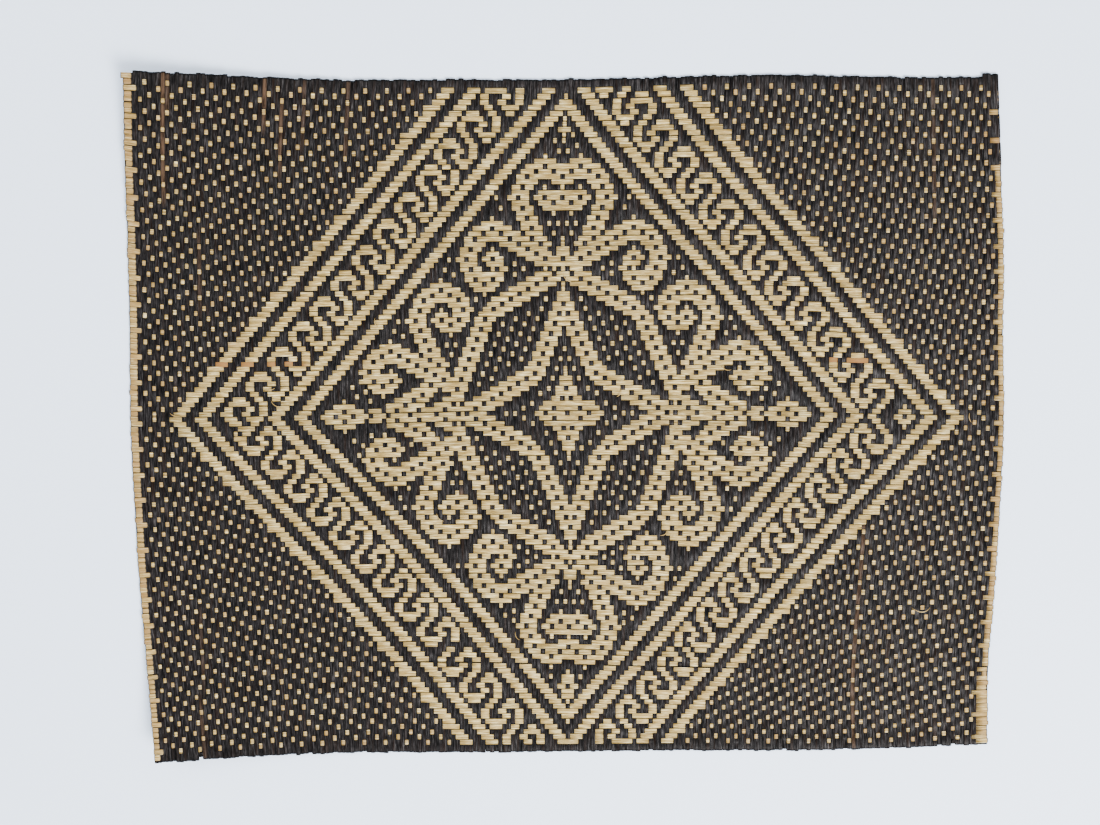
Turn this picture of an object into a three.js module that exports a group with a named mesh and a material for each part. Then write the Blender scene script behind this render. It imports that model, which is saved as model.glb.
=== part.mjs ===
// Rattan placemat: one woven sheet of split cane, lying flat with its two left
// corners curled up a little. Millimetres, +Z up, +Y is the far edge, origin at
// the middle of the underside.
import * as THREE from 'three';

// Overall size of the woven sheet
const WIDTH = 452;            // left edge to right edge at the widest, along X
const DEPTH = 350;            // near edge to far edge at the middle, along Y
const FIELD_THICK = 1.5;      // two crossing layers of cane strip
const EDGE_THICK = 2.0;       // where the strips fold back along the edges
const EDGE_BAND = 4.5;        // width of the folded edge
const EDGE_ROUND = 0.6;       // rounding of the outer rim

// How far the edges run inside the plain WIDTH x DEPTH rectangle, measured at
// even steps. Left and right edges are listed from the near corner to the far
// one, near and far edges from the left corner to the right one.
const LEFT_IN = [10.5, 5.7, 2.2, 1.0, 0.4, 1.5, 2.0, 2.8, 6.0];
const RIGHT_IN = [2.2, 3.2, 1.4, 0.2, 0.0, 2.1, 3.4, 6.8, 10.0];
const NEAR_IN = [-0.6, -0.2, 0.0, -0.1, 0.4, 1.0, 1.0, 2.0, 4.3];
const FAR_IN = [-1.4, 0.2, 1.6, 1.3, 1.3, -0.1, -1.1, 0.0, -0.1];

// The two curled corners: height of the tip and how far the curl reaches
const FAR_CURL = { height: 12, along: 150, across: 95 };
const NEAR_CURL = { height: 14, along: 140, across: 105 };

// Grid of the sheet between its folded edges
const CELLS_X = 36;
const CELLS_Y = 26;

// Value at t (0 to 1) on a smooth curve through evenly spaced values
function along(values, t) {
  const n = values.length - 1;
  const s = Math.min(Math.max(t, 0), 1) * n;
  const i = Math.min(Math.floor(s), n - 1);
  const f = s - i;
  const p1 = values[i];
  const p2 = values[i + 1];
  const p0 = i > 0 ? values[i - 1] : 2 * p1 - p2;
  const p3 = i < n - 1 ? values[i + 2] : 2 * p2 - p1;
  return p1 + 0.5 * f * (p2 - p0
    + f * (2 * p0 - 5 * p1 + 4 * p2 - p3 + f * (3 * (p1 - p2) + p3 - p0)));
}

// Height of the sheet over a point: zero except where a corner curls up
function curl(x, y, c, side) {
  const dx = (x + WIDTH / 2) / c.along;
  const dy = (side > 0 ? DEPTH / 2 - y : y + DEPTH / 2) / c.across;
  const far = Math.hypot(Math.max(dx, 0), Math.max(dy, 0));
  return far < 1 ? c.height * (1 - far) * (1 - far) : 0;
}

function lift(x, y) {
  return curl(x, y, FAR_CURL, 1) + curl(x, y, NEAR_CURL, -1);
}

// Plain rectangle position to its place on the sheet
function place(x, y) {
  const u = x / WIDTH + 0.5;
  const v = y / DEPTH + 0.5;
  const left = -WIDTH / 2 + along(LEFT_IN, v);
  const right = WIDTH / 2 - along(RIGHT_IN, v);
  const near = -DEPTH / 2 + along(NEAR_IN, u);
  const far = DEPTH / 2 - along(FAR_IN, u);
  return [left + (right - left) * u, near + (far - near) * v, lift(x, y)];
}

// Even stations between two folded edges, with the edge lines kept exact
function stations(length, cells) {
  const half = length / 2;
  const list = [-half + EDGE_ROUND, -half + EDGE_BAND];
  const inner = length - 2 * EDGE_BAND - 6;
  for (let i = 0; i <= cells; i++) list.push(-inner / 2 + (inner * i) / cells);
  list.push(half - EDGE_BAND, half - EDGE_ROUND);
  return list;
}

function thickness(x, y) {
  const edge = Math.min(WIDTH / 2 - Math.abs(x), DEPTH / 2 - Math.abs(y));
  const t = Math.min(Math.max((edge - EDGE_BAND) / 3, 0), 1);
  return EDGE_THICK + (FIELD_THICK - EDGE_THICK) * t;
}

function wovenSheet() {
  const xs = stations(WIDTH, CELLS_X);
  const ys = stations(DEPTH, CELLS_Y);
  const nx = xs.length;
  const ny = ys.length;
  const points = [];
  const faces = [];
  const add = (x, y, up) => {
    const p = place(x, y);
    points.push([p[0], p[1], p[2] + up]);
    return points.length - 1;
  };
  const under = xs.map((x) => ys.map((y) => add(x, y, 0)));
  const over = xs.map((x) => ys.map((y) => add(x, y, thickness(x, y))));
  for (let i = 0; i + 1 < nx; i++) {
    for (let j = 0; j + 1 < ny; j++) {
      const a = over[i][j];
      const b = over[i + 1][j];
      const c = over[i + 1][j + 1];
      const d = over[i][j + 1];
      faces.push([a, b, c], [a, c, d]);
      const e = under[i][j];
      const f = under[i + 1][j];
      const g = under[i + 1][j + 1];
      const h = under[i][j + 1];
      faces.push([e, g, f], [e, h, g]);
    }
  }
  // The rim runs round the sheet once, counter-clockwise seen from above
  const ring = [];
  for (let i = 0; i < nx - 1; i++) ring.push([i, 0]);
  for (let j = 0; j < ny - 1; j++) ring.push([nx - 1, j]);
  for (let i = nx - 1; i > 0; i--) ring.push([i, ny - 1]);
  for (let j = ny - 1; j > 0; j--) ring.push([0, j]);
  const rim = ring.map(([i, j]) => {
    const x = i === 0 ? -WIDTH / 2 : i === nx - 1 ? WIDTH / 2 : xs[i];
    const y = j === 0 ? -DEPTH / 2 : j === ny - 1 ? DEPTH / 2 : ys[j];
    const corner = (i === 0 || i === nx - 1) && (j === 0 || j === ny - 1);
    const k = corner ? 1 - (EDGE_ROUND * 1.2) / WIDTH : 1;
    return add(x * k, y * k, EDGE_THICK / 2);
  });
  ring.forEach(([i, j], n) => {
    const m = (n + 1) % ring.length;
    const [i2, j2] = ring[m];
    faces.push([under[i][j], under[i2][j2], rim[m]], [under[i][j], rim[m], rim[n]]);
    faces.push([rim[n], rim[m], over[i2][j2]], [rim[n], over[i2][j2], over[i][j]]);
  });
  // The box of the finished sheet is centred over the origin
  const low = [Infinity, Infinity];
  const high = [-Infinity, -Infinity];
  for (const p of points) {
    for (let k = 0; k < 2; k++) {
      low[k] = Math.min(low[k], p[k]);
      high[k] = Math.max(high[k], p[k]);
    }
  }
  const shift = [(low[0] + high[0]) / 2, (low[1] + high[1]) / 2];
  const flat = [];
  for (const p of points) flat.push(p[0] - shift[0], p[1] - shift[1], p[2]);
  const geometry = new THREE.BufferGeometry();
  geometry.setAttribute('position', new THREE.Float32BufferAttribute(flat, 3));
  geometry.setIndex(faces.flat());
  geometry.computeVertexNormals();
  return geometry;
}

const cane = new THREE.MeshStandardMaterial({ color: 0x3a373b, roughness: 0.55 });
cane.name = 'dyed_cane';

const mat = new THREE.Mesh(wovenSheet(), cane);
mat.name = 'woven_mat';

const group = new THREE.Group();
group.name = 'rattan_placemat';
group.add(mat);

export default group;
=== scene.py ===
"""Rattan placemat, dressed: every dyed and natural cane strip is woven as its own
ribbon over the flat sheet of the CAD model."""
import math

import bmesh
import bpy
import numpy as np
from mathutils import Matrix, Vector


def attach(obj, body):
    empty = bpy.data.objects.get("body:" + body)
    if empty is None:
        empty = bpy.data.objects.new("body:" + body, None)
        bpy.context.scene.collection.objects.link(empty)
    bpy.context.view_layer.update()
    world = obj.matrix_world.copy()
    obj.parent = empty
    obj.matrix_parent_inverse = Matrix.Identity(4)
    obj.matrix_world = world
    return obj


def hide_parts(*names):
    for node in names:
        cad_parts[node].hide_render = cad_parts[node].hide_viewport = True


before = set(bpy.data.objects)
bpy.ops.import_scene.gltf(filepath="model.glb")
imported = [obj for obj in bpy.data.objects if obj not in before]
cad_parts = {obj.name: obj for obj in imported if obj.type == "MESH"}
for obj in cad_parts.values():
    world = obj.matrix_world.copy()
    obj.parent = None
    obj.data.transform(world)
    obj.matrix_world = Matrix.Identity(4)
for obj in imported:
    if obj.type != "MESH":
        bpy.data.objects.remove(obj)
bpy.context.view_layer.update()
rng = np.random.default_rng(11)

# Sheet, in millimetres, the same values as in the CAD source
WIDTH, DEPTH = 452.0, 350.0
LEFT_IN = (10.5, 5.7, 2.2, 1.0, 0.4, 1.5, 2.0, 2.8, 6.0)
RIGHT_IN = (2.2, 3.2, 1.4, 0.2, 0.0, 2.1, 3.4, 6.8, 10.0)
NEAR_IN = (-0.6, -0.2, 0.0, -0.1, 0.4, 1.0, 1.0, 2.0, 4.3)
FAR_IN = (-1.4, 0.2, 1.6, 1.3, 1.3, -0.1, -1.1, 0.0, -0.1)
FAR_CURL = (12.0, 150.0, 95.0)
NEAR_CURL = (14.0, 140.0, 105.0)

# Weave: dyed strips run near to far, natural strips run left to right
COL_MIN, COL_MAX = -100, 100
ROW_MIN, ROW_MAX = -64, 67
# Strips that kept or took a brown tint: (strip, from, to, strength)
DYED_STAINS = [(-92, -65, -44, 0.9), (-91, -65, -59, 0.5), (-69, -65, -56, 0.9),
               (-65, -60, -50, 0.7), (-25, 16, 22, 0.7), (-60, -65, -54, 0.4),
               (-84, -36, -24, 0.35), (-50, -64, -52, 0.4), (-86, 42, 55, 0.3),
               (-87, 56, 67, 0.4), (70, 20, 67, 0.6), (84, -64, -40, 0.35)]
NATURAL_STAINS = [(-11, -82, -60, 0.9), (-11, 60, 69, 0.9), (-12, 84, 91, 0.6),
                  (-55, -98, -60, 0.3), (-54, 92, 100, 0.7), (-55, 90, 100, 0.6),
                  (-52, 94, 98, 0.6), (40, -99, -80, 0.35), (-30, 70, 99, 0.25)]
# Split fibres standing off the weave: (column, row), length in mm, turn in degrees
# from left-right, bow and rise in mm
FIBRES = [((84.6, 38), 9.5, 0, 1.9, 2.6), ((-66.5, -3), 6.5, 35, 1.0, 1.0),
          ((-68, -6), 6.0, -10, 0.8, 0.9), ((-43, -19), 5.0, 75, 0.9, 0.8),
          ((-30, 21), 5.5, 50, 1.0, 0.8), ((1, -27), 6.0, 40, 0.7, 0.8),
          ((12, -4), 5.0, -60, 0.9, 0.8), ((37, -9), 5.5, 20, 1.1, 0.9),
          ((-90, -1), 6.0, 15, 0.8, 0.8), ((93, 0), 5.0, 80, 0.8, 0.7),
          ((22, 24), 4.5, -30, 0.8, 0.7), ((-12, 45), 5.0, 60, 0.9, 0.8)]
# Dyed strips that stop short of the near edge, by this many rows
SHORT = {-88: 1.1, 93: 1.1}
# Where strip (column, row) lies on the plain sheet: the strips drift a little, as
# a smooth function of column and row over half their number, terms in order of POWERS
HALF_COLS, HALF_ROWS = 100, 66
POWERS = [(i, j) for i in range(6) for j in range(6 - i)]
DRIFT_X = (0.44, 5.71, -0.12, -12.60, -0.49, 4.37, 224.56, -3.98, 5.73, 2.90, -0.49,
           -3.15, -20.66, 0.08, 11.70, -0.07, 0.46, -7.19, 2.67, 13.00, 0.74)
DRIFT_Y = (6.30, -170.84, -4.90, -0.79, 2.78, -3.56, -1.34, -6.26, -9.05, 2.51, 5.06,
           -7.66, 3.92, 3.69, 3.06, 5.26, 6.12, 5.59, 3.13, -8.31, -4.73)
COLUMN_STEP, ROW_STEP = 2.25, 2.62        # mean spacing of the strips, in mm
LAYER = 0.36             # a strip on top or below lies this far from the middle, in mm
MID_HEIGHT = 0.79        # middle of the weave over the table
TUCKED = -LAYER - 0.30   # the folded ends lie under the weave
TURN_LOW = -LAYER - 0.20      # lower side of a fold
EDGE_LIFT = 0.42         # folded edges are thicker, by this much
EDGE_FROM, EDGE_FULL = 10.0, 5.0          # rising between these distances from the edge
DYED_FILL, NATURAL_FILL = 1.15, 0.915     # strip width over the local spacing
HALF_THICK = 0.20        # half the thickness of a strip, in mm
FIBRE_HALF_WIDTH, FIBRE_HALF_THICK = 0.17, 0.12
# How far strips run level past the middle of their last crossing, as a share of the
# spacing: on top, below
DYED_PADS, NATURAL_PADS = (0.42, 0.40), (0.41, 0.46)
# Folds reach this far past the last crossing, unevenly, as a share of the spacing
DYED_REACH, DYED_UNEVEN = 0.78, 0.09
NATURAL_REACH, NATURAL_UNEVEN = 0.42, 0.10

# Middle figure: strokes of one quarter, each point is one dark tie
STROKE = 2.01
BIG_CURL = [(-29, 10), (-31, 11), (-31, 13), (-32, 15), (-33, 17), (-34, 19), (-33, 21),
            (-32, 23), (-30, 24), (-28, 25), (-26, 24), (-24, 23), (-23, 21), (-24, 19),
            (-26, 18), (-28, 19)]
SMALL_CURL = [(-28, 7), (-30, 8), (-32, 9), (-34, 10), (-36, 11), (-38, 12), (-40, 13),
              (-42, 12), (-44, 11), (-45, 9), (-44, 7), (-42, 6), (-40, 7)]
SIDE_CURL = [(-4, 31), (-6, 32), (-8, 33), (-10, 34), (-12, 35), (-14, 36), (-16, 37),
             (-18, 36), (-20, 35), (-21, 33), (-22, 31), (-21, 29), (-20, 27), (-18, 26),
             (-16, 27), (-15, 29), (-16, 31)]
RING = [(-5, 34), (-7, 35), (-7, 37), (-8, 39), (-9, 41), (-10, 43), (-9, 45), (-8, 47),
        (-6, 48), (-4, 49), (-2, 48), (0, 47)]
ARM = [(-31, 6), (-33, 4), (-35, 3), (-37, 2), (-39, 1), (-41, 0)]
PETAL = [(-25, 5), (-24, 7), (-23, 9), (-22, 11), (-21, 13), (-20, 15), (-19, 17),
         (-18, 19), (-16, 21), (-14, 22), (-12, 23), (-10, 24), (-8, 25), (-6, 26), (-4, 27)]
STAR_FAR = [(-21, 1), (-19, 2), (-17, 3), (-15, 4), (-13, 5), (-11, 6), (-9, 7), (-7, 8),
            (-6, 10), (-5, 12), (-4, 14), (-3, 16), (-2, 18), (-1, 20), (0, 22)]
STAR_NEAR = [(-21, 1), (-19, 2), (-17, 3), (-15, 4), (-13, 5), (-11, 6), (-9, 7), (-7, 9),
             (-6, 11), (-5, 13), (-4, 15), (-3, 17), (-2, 19), (-1, 21), (0, 23)]
TEETH = [(-4, 43), (-2, 42), (0, 43)]

# Filled parts and gaps beside the strokes: (row, first column, last column), both
# sides and both halves alike, then single dark ties
SIDE_FILL = [(0, -56, -19), (1, -55, -47), (1, -45, -43), (1, -41, -19), (2, -53, -49),
             (2, -41, -33), (2, -30, -17), (3, -51, -51), (3, -28, -24), (4, -26, -24),
             (5, -33, -23), (31, -3, -1)]
SIDE_GAP = [(0, -18, -17), (1, -46, -46), (1, -42, -42), (2, -32, -31), (3, -31, -29),
            (3, -23, -22), (4, -23, -22), (4, -30, -27), (7, -34, -34)]
SIDE_TIES = [(-53, 0), (-51, 1), (-49, 0), (-45, 0), (-41, 0), (-36, 0), (-30, 0), (-25, 0),
             (-23, 0), (-39, 1), (-34, 1), (-28, 1), (-21, 1), (-37, 2), (-26, 2), (-24, 2),
             (-19, 2), (-35, 3), (-17, 3), (-33, 4), (-29, 5), (-25, 5), (-31, 6), (-28, 7),
             (-24, 7), (-33, 12), (-9, 36), (0, 31), (-4, 31), (-26, 20), (-18, 29), (-17, 29),
             (-2, 32), (-2, 33)]
# Neck between the star and the head: (row, half width, dark columns)
NECK = [(-30, 6, ()), (-29, 6, (-6, -5, -3, -1, 1, 5, 6)), (-28, 6, (-2, 2)),
        (-27, 6, (-4, 0, 4)), (28, 6, (0,)), (29, 6, (-6, -5, -3, 3, 5, 6)), (30, 6, (-1, 1))]
# Lozenge in the middle: (row, first column, last column, dark columns)
LOZENGE = [(0, -7, 8, (-5, 0, 5)), (1, -6, 7, (-3, 3)), (2, -5, 6, ()), (3, -3, 3, (-1, 1)),
           (4, -2, 2, ()), (5, -2, 2, (0,)), (6, -1, 1, ()), (7, -1, 1, ()), (8, 0, 0, ()),
           (9, 0, 0, ())]
# Single natural dots in the far and near halves, on both sides, then each side's own
DOTS = {-1: [(26, 12), (27, 14), (25, 14), (38, 19), (39, 17), (37, 16), (26, 31), (27, 29),
             (25, 28), (20, 23), (15, 43), (14, 41), (11, 30), (9, 29), (11, 28), (47, 7),
             (49, 6), (46, 5), (48, 4), (45, 3), (0, 13), (1, 11), (2, 9), (3, 7)],
        1: [(26, 12), (27, 14), (25, 14), (36, 6), (45, 4), (49, 5), (47, 6), (48, 8),
            (37, 15), (39, 17), (38, 19), (13, 40), (15, 41), (13, 42), (12, 27), (10, 28),
            (10, 30), (12, 31), (8, 29), (0, 14), (1, 12), (2, 10)]}
OWN_DOTS = [(-4, -5), (-6, -4), (-8, -2), (-10, -1), (-12, 0), (-14, 0), (5, -5), (7, -4),
            (9, -2), (11, -1), (13, 0), (15, 0), (-3, 8), (-4, 6), (-5, 4), (-8, 2), (-10, 1),
            (3, 7), (5, 6), (7, 4), (9, 2), (11, 1), (6, 20), (5, 22), (2, -55), (-2, -54),
            (3, -53), (-1, -52), (1, -52), (-4, 53), (3, 53), (26, 31), (25, 33),
            (-26, 31)]
# Where the patterns meet at the four tips: (row, first column, last column)
TIPS = [(-58, 0, 0), (-57, 0, 0), (-56, -1, 1), (-55, 0, 0), (-54, 0, 0), (52, 0, 0),
        (53, -1, 1), (54, -1, 1), (55, -2, -1), (55, 1, 2), (56, -1, 1), (57, -1, 1),
        (58, 0, 0), (-1, -79, -79), (0, -78, -76), (0, -73, -70), (1, -77, -75),
        (1, -72, -71), (2, -75, -74), (3, -76, -76), (4, -76, -76), (-1, 71, 72), (0, 70, 71),
        (1, 71, 72), (-2, 78, 78), (-1, 77, 79), (0, 76, 77), (0, 79, 80), (1, 77, 79),
        (2, 78, 78)]
PETAL_DOTS = {(-1, -1): 2, (1, -1): 2, (-1, 1): 4, (1, 1): 2}

# Border lines, the band of running hooks between them and the corner fields beyond
# them, by distance |column| + |row|
BORDER = ((89, 91), (83, 85), (66, 68), (60, 62))
HOOK_BAND = range(70, 82)
FIELD_FROM = 92
# One hook: columns in from its corner, by row
HOOK = {0: (2, 3, 4), 1: (1, 2, 3, 4, 5, 8, 9), 2: (0, 1, 5, 6, 8, 9),
        3: (0, 1, 4, 5, 8, 9), 4: (1, 2, 5, 6, 7, 8), 5: (2, 3, 6, 7)}
# Dots of the corner fields, by side and end: each fifth column, moved this far a row,
# and where that starts
FIELD_STEP = {(-1, -1): (3, 2), (1, -1): (2, 3), (-1, 1): (2, 0), (1, 1): (3, 4)}


def stroke_distance(c, r, path):
    """Distance from (column, row) to a stroke, in strips."""
    best = math.inf
    for (x1, y1), (x2, y2) in zip(path, path[1:]):
        dx, dy = x2 - x1, y2 - y1
        t = ((c - x1) * dx + (r - y1) * dy) / (dx * dx + dy * dy)
        t = min(max(t, 0.0), 1.0)
        best = min(best, math.hypot(c - x1 - t * dx, r - y1 - t * dy))
    return best


def hook_corner(side, end, k):
    """Corner of hook k; they follow each other in steps of five along the border, and
    the ones towards the middle column lie one strip off."""
    inner = k <= -4
    if end < 0:
        c0, r0 = (50, 32) if side > 0 else (49, 34) if inner else (48, 34)
    elif side < 0:
        c0, r0 = (50, 33) if inner else (50, 32)
    else:
        c0, r0 = (51, 32) if inner else (50, 32)
    return c0 + 5 * k, r0 - 5 * k


def is_hook(side, end, c, r):
    """True where a hook lies over (column, row), both counted outwards."""
    for k in range(-10, 7):
        c0, r0 = hook_corner(side, end, k)
        if r > 0 and r0 > 3 and c0 - c in HOOK.get(r0 - r, ()):
            return True
    return False


def weave_chart():
    """on_top[row, column] is True where the natural strip lies over the dyed one."""
    on_top = np.zeros((ROW_MAX - ROW_MIN + 1, COL_MAX - COL_MIN + 1), bool)

    def put(c, r, value=True):
        if ROW_MIN <= r <= ROW_MAX and COL_MIN <= c <= COL_MAX:
            on_top[r - ROW_MIN, c - COL_MIN] = value

    def both(c, r, value=True):
        put(c, r, value)
        put(-c, r, value)

    for r in range(ROW_MIN, ROW_MAX + 1):
        for c in range(COL_MIN, COL_MAX + 1):
            u = abs(c) + abs(r)
            side, end = (-1 if c < 0 else 1), (-1 if r < 0 else 1)
            if u >= FIELD_FROM:
                step, phase = FIELD_STEP[side, end]
                put(c, r, (c - step * r + phase) % 5 == 0)
            elif any(low <= u <= high for low, high in BORDER):
                put(c, r)
            elif u in HOOK_BAND:
                put(c, r, is_hook(side, end, abs(c), abs(r)))
    # the figure in the middle, half by half; the dark ties are taken out last
    dark = []
    for end in (-1, 1):
        star, wedge, tip = (STAR_FAR, 17, 26) if end < 0 else (STAR_NEAR, 18, 27)
        for path in (BIG_CURL, SMALL_CURL, SIDE_CURL, RING, ARM, PETAL, TEETH, star):
            xs = [p[0] for p in path]
            ys = [p[1] for p in path]
            for c in range(min(xs) - 3, max(xs) + 4):
                for r in range(min(ys) - 3, max(ys) + 4):
                    if stroke_distance(c, r, path) <= STROKE:
                        both(c, end * r)
            dark += [(c, end * r) for c, r in path]
        # wedge in the point of the star, stalk of the head, dots in the head
        for r in range(wedge, tip + 1):
            for c in range((tip - r) // 2 + 1):
                both(c, end * r)
        dark.append((0, end * wedge))
        for r, w in ((35, 0), (34, 0), (33, 1), (32, 1)):
            for c in range(w + 1):
                both(c, end * r)
        for c, r in ((-2, 36), (-3, 38), (-1, 38), (-2, 40)):
            both(c, end * r)
        # side stalks, lozenge and single dots
        for r, first, last in SIDE_FILL:
            for c in range(first, last + 1):
                both(c, end * r)
        for r, first, last in SIDE_GAP:
            dark += [(c, end * r) for c in range(first, last + 1)]
        dark += [(c, end * r) for c, r in SIDE_TIES]
        for r, first, last, ties in LOZENGE:
            for c in range(first, last + 1):
                put(c, end * r, c not in ties)
        for c, r in DOTS[end]:
            both(c, end * r)
    both(-2, -26)
    for r, half, ties in NECK:
        for c in range(-half, half + 1):
            put(c, r, c not in ties)
    dark += [(-4, -27), (0, -27), (-4, 27), (0, 28)]
    for c, r in dark:
        both(c, r, False)
    for c, r in OWN_DOTS:
        put(c, r)
    for r, first, last in TIPS:
        for c in range(first, last + 1):
            put(c, r)
    # between the star and the petals lies one dot in five
    open_cells = on_top.copy()
    for (side, end), phase in PETAL_DOTS.items():
        for r in range(5, 24):
            outer = np.interp(r, [p[1] for p in PETAL], [p[0] for p in PETAL])
            inner = np.interp(r, [p[1] for p in STAR_FAR], [p[0] for p in STAR_FAR])
            for c in range(math.ceil(outer), math.floor(inner)):
                i, j = end * r - ROW_MIN, side * -c - COL_MIN
                near = open_cells[i - 1:i + 2, j - 1:j + 2].any()
                if (c + 2 * r) % 5 == phase and not near:
                    on_top[i, j] = True
    # both sides end in natural wraps, except near the far right corner, where the last
    # dyed strips show and only each fifth wrap crosses them
    for r in range(ROW_MIN, ROW_MAX + 1):
        for c in (COL_MIN, COL_MIN + 1):
            put(c, r)
        put(COL_MAX, r, r >= -48 or (r % 5 == 1 and r > -60))
        put(COL_MAX - 1, r, (r % 5 == 1 and r > -60) or r > 52)
        if r > 52:
            put(COL_MAX - 2, r, r % 5 == 1)
    # far and near edges end in dyed folds
    for c in range(COL_MIN + 2, COL_MAX - 1):
        put(c, ROW_MIN, False)
        put(c, ROW_MAX, False)
    return on_top


ON_TOP = weave_chart()


def along(values, t):
    """Smooth curve through evenly spaced values, for an array t from 0 to 1."""
    values = np.asarray(values)
    n = len(values) - 1
    s = np.clip(t, 0, 1) * n
    i = np.minimum(np.floor(s).astype(int), n - 1)
    f = s - i
    p1, p2 = values[i], values[i + 1]
    p0 = np.where(i > 0, values[np.maximum(i - 1, 0)], 2 * p1 - p2)
    p3 = np.where(i < n - 1, values[np.minimum(i + 2, n)], 2 * p2 - p1)
    return p1 + 0.5 * f * (p2 - p0 + f * (2 * p0 - 5 * p1 + 4 * p2 - p3
                                          + f * (3 * (p1 - p2) + p3 - p0)))


def curl(x, y, shape, side):
    """Height of a curled left corner; side is 1 for the far one, -1 for the near one."""
    height, reach_x, reach_y = shape
    dx = np.maximum((x + WIDTH / 2) / reach_x, 0)
    dy = np.maximum((DEPTH / 2 - side * y) / reach_y, 0)
    far = np.minimum(np.hypot(dx, dy), 1)
    return height * (1 - far) ** 2


def place(x, y):
    """Plain sheet position to its place on the mat, as in the CAD source."""
    u = x / WIDTH + 0.5
    v = y / DEPTH + 0.5
    left = -WIDTH / 2 + along(LEFT_IN, v)
    right = WIDTH / 2 - along(RIGHT_IN, v)
    near = -DEPTH / 2 + along(NEAR_IN, u)
    far = DEPTH / 2 - along(FAR_IN, u)
    z = curl(x, y, FAR_CURL, 1) + curl(x, y, NEAR_CURL, -1)
    return left + (right - left) * u, near + (far - near) * v, z


def centre_shift():
    """The CAD sheet is centred over the origin by its box; this repeats that."""
    t = np.linspace(-0.5, 0.5, 400)
    xs, ys = [], []
    for x, y in ((t * WIDTH, t * 0 - DEPTH / 2), (t * WIDTH, t * 0 + DEPTH / 2),
                 (t * 0 - WIDTH / 2, t * DEPTH), (t * 0 + WIDTH / 2, t * DEPTH)):
        px, py, _ = place(x, y)
        xs.append(px)
        ys.append(py)
    xs, ys = np.concatenate(xs), np.concatenate(ys)
    return (xs.min() + xs.max()) / 2, (ys.min() + ys.max()) / 2


SHIFT = centre_shift()


def drift(terms, c, r):
    """Value in mm of one of the drift functions."""
    u, v = c / HALF_COLS, r / HALF_ROWS
    return sum(k * u ** i * v ** j for k, (i, j) in zip(terms, POWERS))


def ease(x, start, stop):
    """Smooth step from 0 at start to 1 at stop."""
    t = np.clip((x - start) / (stop - start), 0, 1)
    return t * t * (3 - 2 * t)


def sheet_xy(c, r):
    """Plain sheet position of weave position (column, row). The outermost strips are
    drawn to the straight edges; the left one stays a little inside, most at its ends."""
    x, y = drift(DRIFT_X, c, r), drift(DRIFT_Y, c, r)
    ends = c * 0
    inset = 0.7 + 1.1 * (r / HALF_ROWS) ** 2
    left = inset - WIDTH / 2 - drift(DRIFT_X, ends + COL_MIN - 0.5, r)
    right = WIDTH / 2 - drift(DRIFT_X, ends + COL_MAX + 0.5, r)
    far = DEPTH / 2 - drift(DRIFT_Y, c, ends + ROW_MIN - 0.8)
    near = -DEPTH / 2 - drift(DRIFT_Y, c, ends + ROW_MAX + 0.8)
    x = x + left * ease(-c, 72, 100.5) + right * ease(c, 72, 100.5)
    y = y + far * ease(-r, 44, 64.8) + near * ease(r, 46, 67.8)
    return x, y


def surface(c, r, height):
    """Place in metres of weave position (column, row), at a height over or under the
    middle of the weave, in millimetres."""
    c = np.asarray(c, float)
    r = np.asarray(r, float)
    c, r = np.broadcast_arrays(c, r)
    x, y = sheet_xy(c, r)
    gap = np.minimum(WIDTH / 2 - np.abs(x), DEPTH / 2 - np.abs(y))
    edge = np.clip((EDGE_FROM - gap) / (EDGE_FROM - EDGE_FULL), 0, 1)
    px, py, pz = place(x, y)
    z = pz + MID_HEIGHT + EDGE_LIFT * edge * edge * (3 - 2 * edge) + height
    return np.stack([px - SHIFT[0], py - SHIFT[1], z], 1) / 1000


RIM_PAINTED_SHADE = 0.18          # painted shade: the rims of a strip's top are darkened as if they lay this deep in the weave


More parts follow.
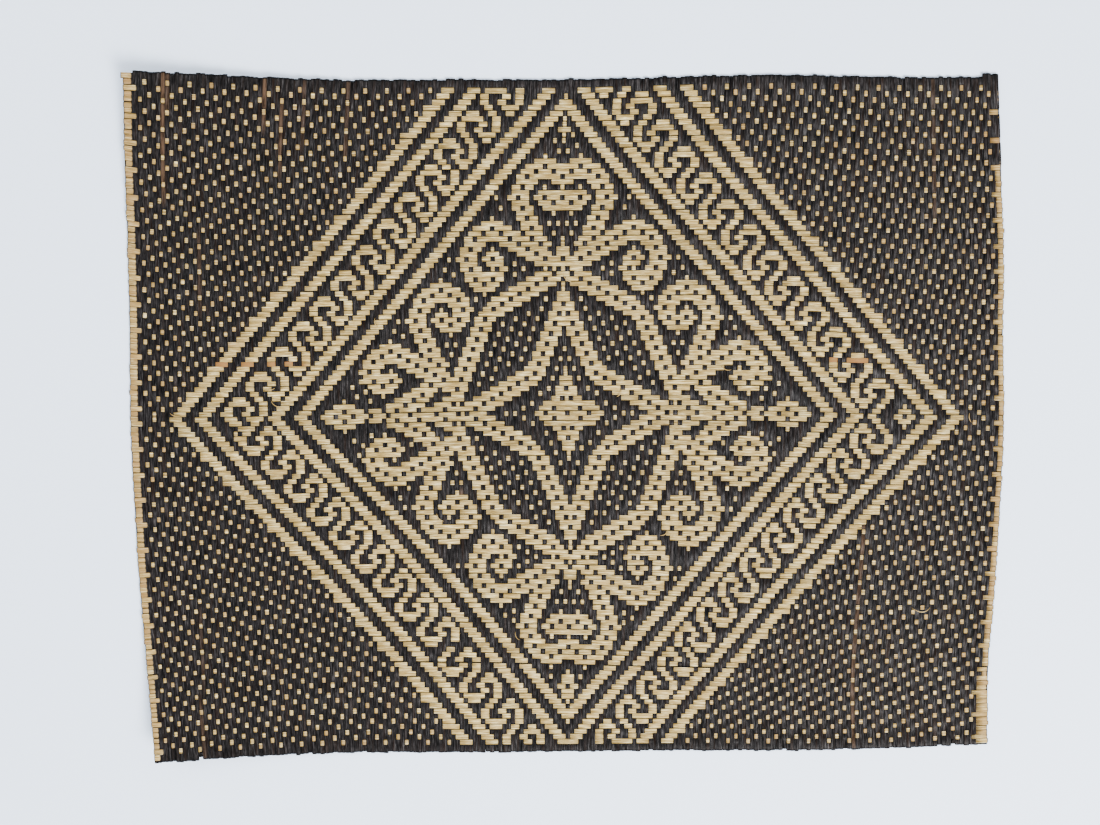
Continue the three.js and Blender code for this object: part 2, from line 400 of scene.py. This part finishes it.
class Ribbons:
    """Collects many ribbons, then makes them one mesh object. The profile is given in
    half widths and half thicknesses; sharp lists its crisp edges. Three values go with
    each point: the tone of the strip, its stain, and its painted shade, which comes from how
    deep it lies in the weave and from the rims and lower side of its section."""

    def __init__(self, profile, sharp):
        self.profile, self.sharp = profile, sharp
        self.verts, self.faces, self.uvs, self.caps = [], [], [], []
        self.tones, self.stains, self.painted_shade = [], [], []
        self.count = 0

    def add(self, points, half_width, half_thick, side, look, stain, height):
        """points (n, 3) in metres along the middle, the other measures in mm. side is
        the direction across the strip, and look its tone and where its grain starts,
        along and across."""
        n = len(points)
        tangent = np.gradient(points, axis=0)
        tangent /= np.linalg.norm(tangent, axis=1)[:, None]
        normal = np.cross(np.tile(side, (n, 1)), tangent)
        normal /= np.linalg.norm(normal, axis=1)[:, None]
        across = np.cross(tangent, normal)
        steps = np.linalg.norm(np.diff(points, axis=0), axis=1)
        run = np.concatenate([[0], np.cumsum(steps)])
        tone, start_along, start_across = look
        k = len(self.profile)
        ring = np.zeros((n, k, 3))
        uv = np.zeros((n, k, 2))
        for j, (a, b) in enumerate(self.profile):
            ring[:, j] = (points + across * (a * half_width / 1000)[:, None]
                          + normal * (b * half_thick / 1000))
            uv[:, j, 0] = a * half_width + start_across
            uv[:, j, 1] = run * 1000 + start_along
        self.verts.append(ring.reshape(-1, 3))
        self.uvs.append(uv.reshape(-1, 2))
        self.tones.append(np.full(n * k, tone))
        self.stains.append(np.repeat(stain, k))
        # painted shade: the rims of the top, the lower side of each section and the stretches
        # below other strips are marked to be darkened
        rim = np.array([RIM_PAINTED_SHADE * abs(a) if b > 0 else 1.0 for a, b in self.profile])
        sunk = np.clip((LAYER - height) / (2 * LAYER), 0, 1)
        self.painted_shade.append(np.maximum(rim[None, :], sunk[:, None]).ravel())
        base = self.count
        i = np.arange(n - 1)[:, None] * k + base
        j = np.arange(k)[None, :]
        jn = (j + 1) % k
        quads = np.stack([i + j, i + jn, i + k + jn, i + k + j], -1).reshape(-1, 4)
        self.faces.append(quads)
        self.caps.append((base, base + (n - 1) * k))
        self.count += n * k

    def build(self, name, material):
        verts = np.concatenate(self.verts)
        quads = np.concatenate(self.faces)
        k = len(self.profile)
        caps = []
        for first, last in self.caps:
            a = [first + j for j in range(k)]
            b = [last + j for j in range(k)]
            caps += [a[::-1], b]
        mesh = bpy.data.meshes.new(name)
        mesh.from_pydata(verts.tolist(), [], quads.tolist() + caps)
        mesh.update()
        mesh.shade_smooth()
        ends = np.zeros(len(mesh.edges) * 2, dtype=np.int32)
        mesh.edges.foreach_get("vertices", ends)
        ends = ends.reshape(-1, 2)
        crisp = np.isin(ends[:, 0] % k, self.sharp) & (ends[:, 0] % k == ends[:, 1] % k)
        layer = mesh.attributes.new("sharp_edge", "BOOLEAN", "EDGE")
        layer.data.foreach_set("value", crisp)
        uv = np.concatenate(self.uvs)
        layer = mesh.uv_layers.new(name="strip_mm")
        loops = np.zeros(len(mesh.loops), dtype=np.int32)
        mesh.loops.foreach_get("vertex_index", loops)
        layer.data.foreach_set("uv", uv[loops].astype(np.float32).ravel())
        for title, values in (("tone", self.tones), ("stain", self.stains),
                              ("painted_shade", self.painted_shade)):
            layer = mesh.attributes.new(title, "FLOAT", "POINT")
            layer.data.foreach_set("value", np.concatenate(values).astype(np.float32))
        mesh.materials.append(material)
        obj = bpy.data.objects.new(name, mesh)
        bpy.context.scene.collection.objects.link(obj)
        return obj


def runs(states):
    """(first, last, state) of each run of equal values."""
    found = []
    first = 0
    for i in range(1, len(states) + 1):
        if i == len(states) or states[i] != states[first]:
            found.append((first, i - 1, bool(states[first])))
            first = i
    return found


def stations(states, origin, over, under):
    """Positions and heights along one strip; states say where it lies on top. over and
    under are how far it runs level past the middle of the last cell. A single crossing
    on top is a little shorter, and long ones bulge slightly."""
    where, height = [], []
    for first, last, up in runs(states):
        a, b = origin + first, origin + last
        pad, level = (over, LAYER) if up else (under, -LAYER)
        if up and first == last:
            pad -= rng.uniform(0.04, 0.13)
        pieces = 1 + (last - first) // 7
        where += list(np.linspace(a - pad, b + pad, pieces + 1))
        height += [level] + [level + (0.04 if up else 0)] * (pieces - 1) + [level]
    return np.array(where, float), np.array(height, float)


def smooth_noise(n, step, size):
    """Slow random drift with n values, about `step` values per swing."""
    knots = rng.normal(0, size, max(int(n / step), 1) + 4)
    t = np.linspace(1, len(knots) - 3, n)
    i = np.floor(t).astype(int)
    f = t - i
    f = f * f * (3 - 2 * f)
    return knots[i] * (1 - f) + knots[i + 1] * f


def spacing(points, beside):
    """Distance in mm to the same points of the next strip."""
    return np.linalg.norm(points - beside, axis=1) * 1000


def grain_start():
    """Random place in the grain pattern, in mm, so that no two strips look alike."""
    return rng.uniform(0, 900), rng.uniform(0, 300)


# Sections of the strips and their crisp edges: dyed strips are rounded on top, natural
# ones nearly flat
ROUND_STRIP = ((-1.0, 0.35), (0.0, 1.0), (1.0, 0.35), (0.0, -0.9)), (0, 2)
FLAT_STRIP = ((-1.0, 0.8), (0.0, 1.0), (1.0, 0.8), (0.94, -0.9), (-0.94, -0.9)), (0, 2, 3, 4)


def dyed_strips(material):
    ribbons = Ribbons(*ROUND_STRIP)
    rows = ROW_MAX - ROW_MIN + 1
    for c in range(COL_MIN, COL_MAX + 1):
        states = ~ON_TOP[::-1, c - COL_MIN]
        where, height = stations(states, -ROW_MAX, *DYED_PADS)
        where = -where                                   # rows, from near to far
        far = ROW_MIN - DYED_REACH + rng.normal(0, DYED_UNEVEN)
        near = ROW_MAX + DYED_REACH + rng.normal(0, DYED_UNEVEN) - SHORT.get(c, 0)
        if c > COL_MAX - 4:      # longer loops at the far right corner
            far -= 0.5
        # each end comes up from below the weave and folds over the edge
        where = np.concatenate([[near - 2.4, near - 0.5, near, near + 0.11, near - 0.25],
                                where,
                                [far + 0.25, far - 0.11, far, far + 0.5, far + 2.4]])
        height = np.concatenate([[TUCKED, TUCKED, TURN_LOW, 0.0, LAYER], height,
                                 [LAYER, 0.0, TURN_LOW, TUCKED, TUCKED]])
        if c < COL_MIN + 2:      # the far left corner shows only natural wraps
            where[-5:] += 0.9
            height[-5:-3] = -LAYER
        wander = smooth_noise(rows + 12, 16, 0.03)
        drift_at = np.interp(where, np.linspace(ROW_MIN - 3, ROW_MAX + 3, len(wander)), wander)
        drift_at += rng.normal(0, 0.02)
        points = surface(c + drift_at, where, height)
        half = spacing(points, surface(c + drift_at + 1, where, height)) * DYED_FILL / 2
        half *= 1 + rng.normal(0, 0.04)
        if c == COL_MAX:         # the wide loop at the far right corner
            half *= 1 + 0.45 * ease(-where, 46, 49)
        half[:3] *= 0.85
        half[-3:] *= 0.85
        stain = np.zeros(len(points))
        for column, first, last, strength in DYED_STAINS:
            if column == c:
                stain[(where > first - 0.6) & (where < last + 0.6)] = strength
        # the dyed strips are a little paler towards the right
        tone = min(max(0.5 + 0.25 * c / HALF_COLS + rng.uniform(-0.4, 0.4), 0), 1)
        look = (tone, *grain_start())
        ribbons.add(points, half, HALF_THICK, (1.0, 0, 0), look, stain, height)
    return ribbons.build("dyed_strips", material)


def loose_fibre(ribbons, middle, length, turn, bow, rise):
    """A thin split fibre standing off the weave, with values as in FIBRES."""
    t = np.linspace(-1, 1, 9)
    angle = math.radians(turn)
    across, down = length / 2 * t, bow * (1 - t * t)
    x = (across * math.cos(angle) - down * math.sin(angle)) / COLUMN_STEP
    y = (across * math.sin(angle) + down * math.cos(angle)) / ROW_STEP
    height = LAYER + 0.25 + rise * (1 - t * t)
    points = surface(middle[0] + x, middle[1] + y, height)
    half = FIBRE_HALF_WIDTH * (1 - 0.6 * t * t)
    side = (-math.sin(angle), -math.cos(angle), 0)
    look = (0.6, *grain_start())
    ribbons.add(points, half, FIBRE_HALF_THICK, side, look, t * 0 + 0.3, t * 0 + LAYER)


# How much each dot of the four corner fields has darkened
DOT_TINT = 0.45 * rng.random((ROW_MAX - ROW_MIN + 1, COL_MAX - COL_MIN + 3)) ** 1.5


def natural_strips(name, material, first_row, last_row):
    ribbons = Ribbons(*FLAT_STRIP)
    for middle, length, turn, bow, rise in FIBRES:
        if first_row <= middle[1] <= last_row:
            loose_fibre(ribbons, middle, length, turn, bow, rise)
    for r in range(first_row, last_row + 1):
        states = ON_TOP[r - ROW_MIN]
        where, height = stations(states, COL_MIN, *NATURAL_PADS)
        where[1] -= 0.35                 # the left wraps leave more of the next strip free
        if ON_TOP[r - ROW_MIN, -1]:      # the right ones reach half over the last strip
            where[-2] -= 0.3 + 0.25 * ease(abs(r / HALF_ROWS), 0.1, 0.7)
            height[-2] += 0.12
        left = COL_MIN - NATURAL_REACH + rng.normal(0, NATURAL_UNEVEN)
        if r == ROW_MIN:                 # the tab at the far left corner
            left -= 0.4
        right = COL_MAX + NATURAL_REACH + rng.normal(0, NATURAL_UNEVEN)
        # each end comes up from below the weave and wraps the last strip
        where = np.concatenate([[left + 3.2, left + 0.7, left + 0.05, left - 0.12, left + 0.1],
                                where[1:-1],
                                [right - 0.1, right + 0.12, right - 0.05, right - 0.7,
                                 right - 3.2]])
        height = np.concatenate([[TUCKED, TUCKED, TURN_LOW, -0.02, LAYER - 0.05],
                                 height[1:-1],
                                 [LAYER - 0.05, -0.02, TURN_LOW, TUCKED, TUCKED]])
        wander = smooth_noise(COL_MAX - COL_MIN + 8, 22, 0.035)
        drift_at = np.interp(where, np.linspace(COL_MIN - 3, COL_MAX + 3, len(wander)), wander)
        drift_at += rng.normal(0, 0.025)
        points = surface(where, r + drift_at, height)
        half = spacing(points, surface(where, r + drift_at + 1, height)) * NATURAL_FILL / 2
        half *= 1 + rng.normal(0, 0.03)
        half[:2] *= 0.8
        half[-2:] *= 0.8
        # wraps are browned by handling, dots by chance, and some strips have real stains
        stain = 0.35 * ease(abs(where), 96.5, 98.5) * rng.uniform(0.4, 1.6)
        cell = np.round(where).astype(int)
        in_field = abs(cell) + abs(r) >= FIELD_FROM
        stain = np.maximum(stain, in_field * DOT_TINT[r - ROW_MIN, np.clip(cell, -101, 101)])
        for row, first, last, strength in NATURAL_STAINS:
            if row == r:
                stain[(where > first - 0.6) & (where < last + 0.6)] = strength
        look = (rng.uniform(0, 1), *grain_start())
        ribbons.add(points, half, HALF_THICK, (0, -1.0, 0), look, stain, height)
    return ribbons.build(name, material)


def srgb(code):
    """Hex colour as the linear values Blender works with."""
    parts = [int(code[i:i + 2], 16) / 255 for i in (1, 3, 5)]
    return tuple(v / 12.92 if v <= 0.04045 else ((v + 0.055) / 1.055) ** 2.4
                 for v in parts) + (1.0,)


def node(tree, kind, inputs=(), stops=(), **settings):
    """Adds a node with its settings. inputs gives a value, a hex colour or another node's
    output for inputs by name or number, and stops the positions and colours of a ramp."""
    made = tree.nodes.new(kind)
    for key, value in settings.items():
        setattr(made, key, value)
    for key, value in dict(inputs).items():
        if isinstance(value, bpy.types.NodeSocket):
            tree.links.new(value, made.inputs[key])
        else:
            made.inputs[key].default_value = srgb(value) if isinstance(value, str) else value
    if stops:
        bar = made.color_ramp.elements
        while len(bar) < len(stops):
            bar.new(0.5)
        for item, (position, value) in zip(bar, stops):
            item.position = position
            item.color = srgb(value) if isinstance(value, str) else (value, value, value, 1)
    return made


# Settings of the nodes that mix two colours, with factor 0, colours 6 and 7, output 2
BLEND = {"data_type": "RGBA", "blend_type": "MIX"}
MULTIPLY = {"data_type": "RGBA", "blend_type": "MULTIPLY"}


def cane_grain(tree, coords, across, length, detail, rough):
    """Grain drawn out along a strip; across and length are sizes in mm."""
    scaled = node(tree, "ShaderNodeMapping",
                  {"Vector": coords, "Scale": (1 / across, 1 / length, 1)})
    noise = node(tree, "ShaderNodeTexNoise",
                 {"Vector": scaled.outputs["Vector"], "Scale": 1.0, "Detail": detail,
                  "Roughness": rough})
    return noise.outputs["Fac"]


def cane_material(name):
    """Material, its tree and shader, and the strips' own coordinates in mm."""
    material = bpy.data.materials.new(name)
    material.use_nodes = True
    tree = material.node_tree
    coords = node(tree, "ShaderNodeUVMap", uv_map="strip_mm").outputs["UV"]
    return material, tree, tree.nodes["Principled BSDF"], coords


def finish_strip(tree, shader, colour, stained, painted_shade_stops, fibres, relief):
    """Strip tone, stain and painted shade, then the fine relief of the fibres. The stops of the
    painted shade go from the top of a strip to its rims and the parts below, which are darkened
    towards near black."""
    own = {key: node(tree, "ShaderNodeAttribute", attribute_name=key).outputs["Fac"]
           for key in ("tone", "stain", "painted_shade")}
    strip = node(tree, "ShaderNodeValToRGB", {"Fac": own["tone"]},
                 ((0.0, 0.66), (0.5, 0.88), (1.0, 1.0)))
    toned = node(tree, "ShaderNodeMix", {0: 1.0, 6: colour, 7: strip.outputs["Color"]},
                 **MULTIPLY)
    # a stain follows the fibres, in streaks
    streaks = node(tree, "ShaderNodeValToRGB", {"Fac": fibres}, ((0.38, 0.15), (0.54, 1.0)))
    amount = node(tree, "ShaderNodeMix", {0: 1.0, 6: own["stain"], 7: streaks.outputs["Color"]},
                  **MULTIPLY)
    tinted = node(tree, "ShaderNodeMix", {0: amount.outputs[2], 6: toned.outputs[2], 7: stained},
                  **BLEND)
    # painted shade: the strip colour is mixed towards near black at its rims, its lower side and
    # where it lies under other strips
    painted_shade_ramp = node(tree, "ShaderNodeValToRGB", {"Fac": own["painted_shade"]}, painted_shade_stops)
    final = node(tree, "ShaderNodeMix",
                 {0: painted_shade_ramp.outputs["Color"], 6: tinted.outputs[2], 7: "#0D0C0C"}, **BLEND)
    tree.links.new(final.outputs[2], shader.inputs["Base Color"])
    bump = node(tree, "ShaderNodeBump", {"Height": fibres, "Strength": relief,
                                         "Distance": 0.0003})
    tree.links.new(bump.outputs["Normal"], shader.inputs["Normal"])


def dyed_cane():
    """Split rattan dyed black-brown in the strip: near black, with brown patches, grey
    streaks along the fibres that are partly their own colour and partly painted sheen,
    and a low waxy sheen on the raised fibres. Single fibres are about 0.2 mm wide, too
    fine to show, so bundles of 0.7 mm are drawn."""
    material, tree, shader, coords = cane_material("dyed_cane")
    fibres = cane_grain(tree, coords, 0.70, 9.0, 5.0, 0.75)
    patches = cane_grain(tree, coords, 1.6, 22.0, 3.0, 0.5)
    # the palest stops make grey streaks, partly fibre colour and partly painted sheen
    base = node(tree, "ShaderNodeValToRGB", {"Fac": fibres},
                ((0.38, "#060606"), (0.47, "#111010"), (0.56, "#242121"), (0.68, "#4B4746")))
    brown = node(tree, "ShaderNodeValToRGB", {"Fac": patches}, ((0.48, 0.0), (0.68, 0.5)))
    colour = node(tree, "ShaderNodeMix",
                  {0: brown.outputs["Color"], 6: base.outputs["Color"], 7: "#261911"}, **BLEND)
    shader.inputs["Roughness"].default_value = 0.42
    sheen = node(tree, "ShaderNodeValToRGB", {"Fac": fibres}, ((0.42, 0.01), (0.66, 0.12)))
    tree.links.new(sheen.outputs["Color"], shader.inputs["Specular IOR Level"])
    # painted shade: the rims of the rounded top and the stretches below go almost black
    finish_strip(tree, shader, colour.outputs[2], "#4E3A2A",
                 ((0.0, 0.0), (0.09, 0.15), (0.18, 0.8), (1.0, 0.95)), fibres, 0.6)
    return material


def natural_cane():
    """Undyed split rattan, scraped smooth: pale straw with darker fibres and tan patches,
    and hardly any gloss. Bundles of fibres 0.6 mm wide are drawn, as on the dyed strips."""
    material, tree, shader, coords = cane_material("natural_cane")
    fibres = cane_grain(tree, coords, 0.62, 11.0, 5.0, 0.7)
    patches = cane_grain(tree, coords, 2.0, 8.0, 3.0, 0.6)
    base = node(tree, "ShaderNodeValToRGB", {"Fac": fibres},
                ((0.32, "#5C4822"), (0.43, "#8A713B"), (0.53, "#AE945B"), (0.66, "#EFDCA6")))
    tan = node(tree, "ShaderNodeValToRGB", {"Fac": patches}, ((0.50, 0.0), (0.70, 0.75)))
    colour = node(tree, "ShaderNodeMix",
                  {0: tan.outputs["Color"], 6: base.outputs["Color"], 7: "#8F733C"}, **BLEND)
    shader.inputs["Roughness"].default_value = 0.55
    shader.inputs["Specular IOR Level"].default_value = 0.15
    # painted shade: the side walls and the stretches below go black, and the flat top hardly
    # darkens
    finish_strip(tree, shader, colour.outputs[2], "#794B23",
                 ((0.0, 0.0), (0.18, 0.04), (0.26, 0.8), (0.5, 1.0)), fibres, 0.5)
    return material


def matt_paint():
    """Plain matt painted board for the floor."""
    material = bpy.data.materials.new("matt_paint")
    material.use_nodes = True
    shader = material.node_tree.nodes["Principled BSDF"]
    shader.inputs["Base Color"].default_value = srgb("#E0ECFD")
    shader.inputs["Roughness"].default_value = 0.7
    return material


dyed = dyed_strips(dyed_cane())
natural_material = natural_cane()
half_rows = (ROW_MIN + ROW_MAX) // 2
natural_far = natural_strips("natural_strips_far", natural_material, ROW_MIN, half_rows)
natural_near = natural_strips("natural_strips_near", natural_material, half_rows + 1, ROW_MAX)

for piece in (dyed, natural_far, natural_near):
    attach(piece, "root")
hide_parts("woven_mat")

# Floor, light and camera
floor_mesh = bpy.data.meshes.new("floor")
bm = bmesh.new()
bmesh.ops.create_grid(bm, x_segments=1, y_segments=1, size=3)
bm.to_mesh(floor_mesh)
bm.free()
floor_mesh.materials.append(matt_paint())
floor = bpy.data.objects.new("floor", floor_mesh)
bpy.context.scene.collection.objects.link(floor)


def aim(obj, target):
    way = [t - p for t, p in zip(target, obj.location)]
    obj.rotation_euler = Vector(way).to_track_quat("-Z", "Y").to_euler()


def area_light(name, location, size, power):
    """Square lamp aimed at the middle of the mat."""
    data = bpy.data.lights.new(name, "AREA")
    data.size = size
    data.energy = power
    light = bpy.data.objects.new(name, data)
    bpy.context.scene.collection.objects.link(light)
    light.location = location
    aim(light, (0, 0, 0))


area_light("window", (0.8, -1.0, 1.5), 0.9, 118)
area_light("fill", (-1.2, 0.9, 1.9), 1.6, 52)
world = bpy.data.worlds.new("studio")
bpy.context.scene.world = world
world.use_nodes = True
background = world.node_tree.nodes["Background"]
background.inputs["Color"].default_value = srgb("#E9F0F8")
background.inputs["Strength"].default_value = 1.25

# The camera looks almost straight down, from a little towards the far edge
TILT = 0.0992            # radians from straight down
DISTANCE = 0.6           # metres from the target
TARGET = (-0.0086, 0.0056, 0.0)
camera_data = bpy.data.cameras.new("camera")
camera_data.sensor_width = 36.0
camera_data.lens = 37.96
camera_data.clip_start = 0.01
camera = bpy.data.objects.new("camera", camera_data)
bpy.context.scene.collection.objects.link(camera)
camera.location = (TARGET[0], TARGET[1] + DISTANCE * math.sin(TILT),
                   DISTANCE * math.cos(TILT))
camera.rotation_euler = (-TILT, 0, 0)
bpy.context.scene.camera = camera
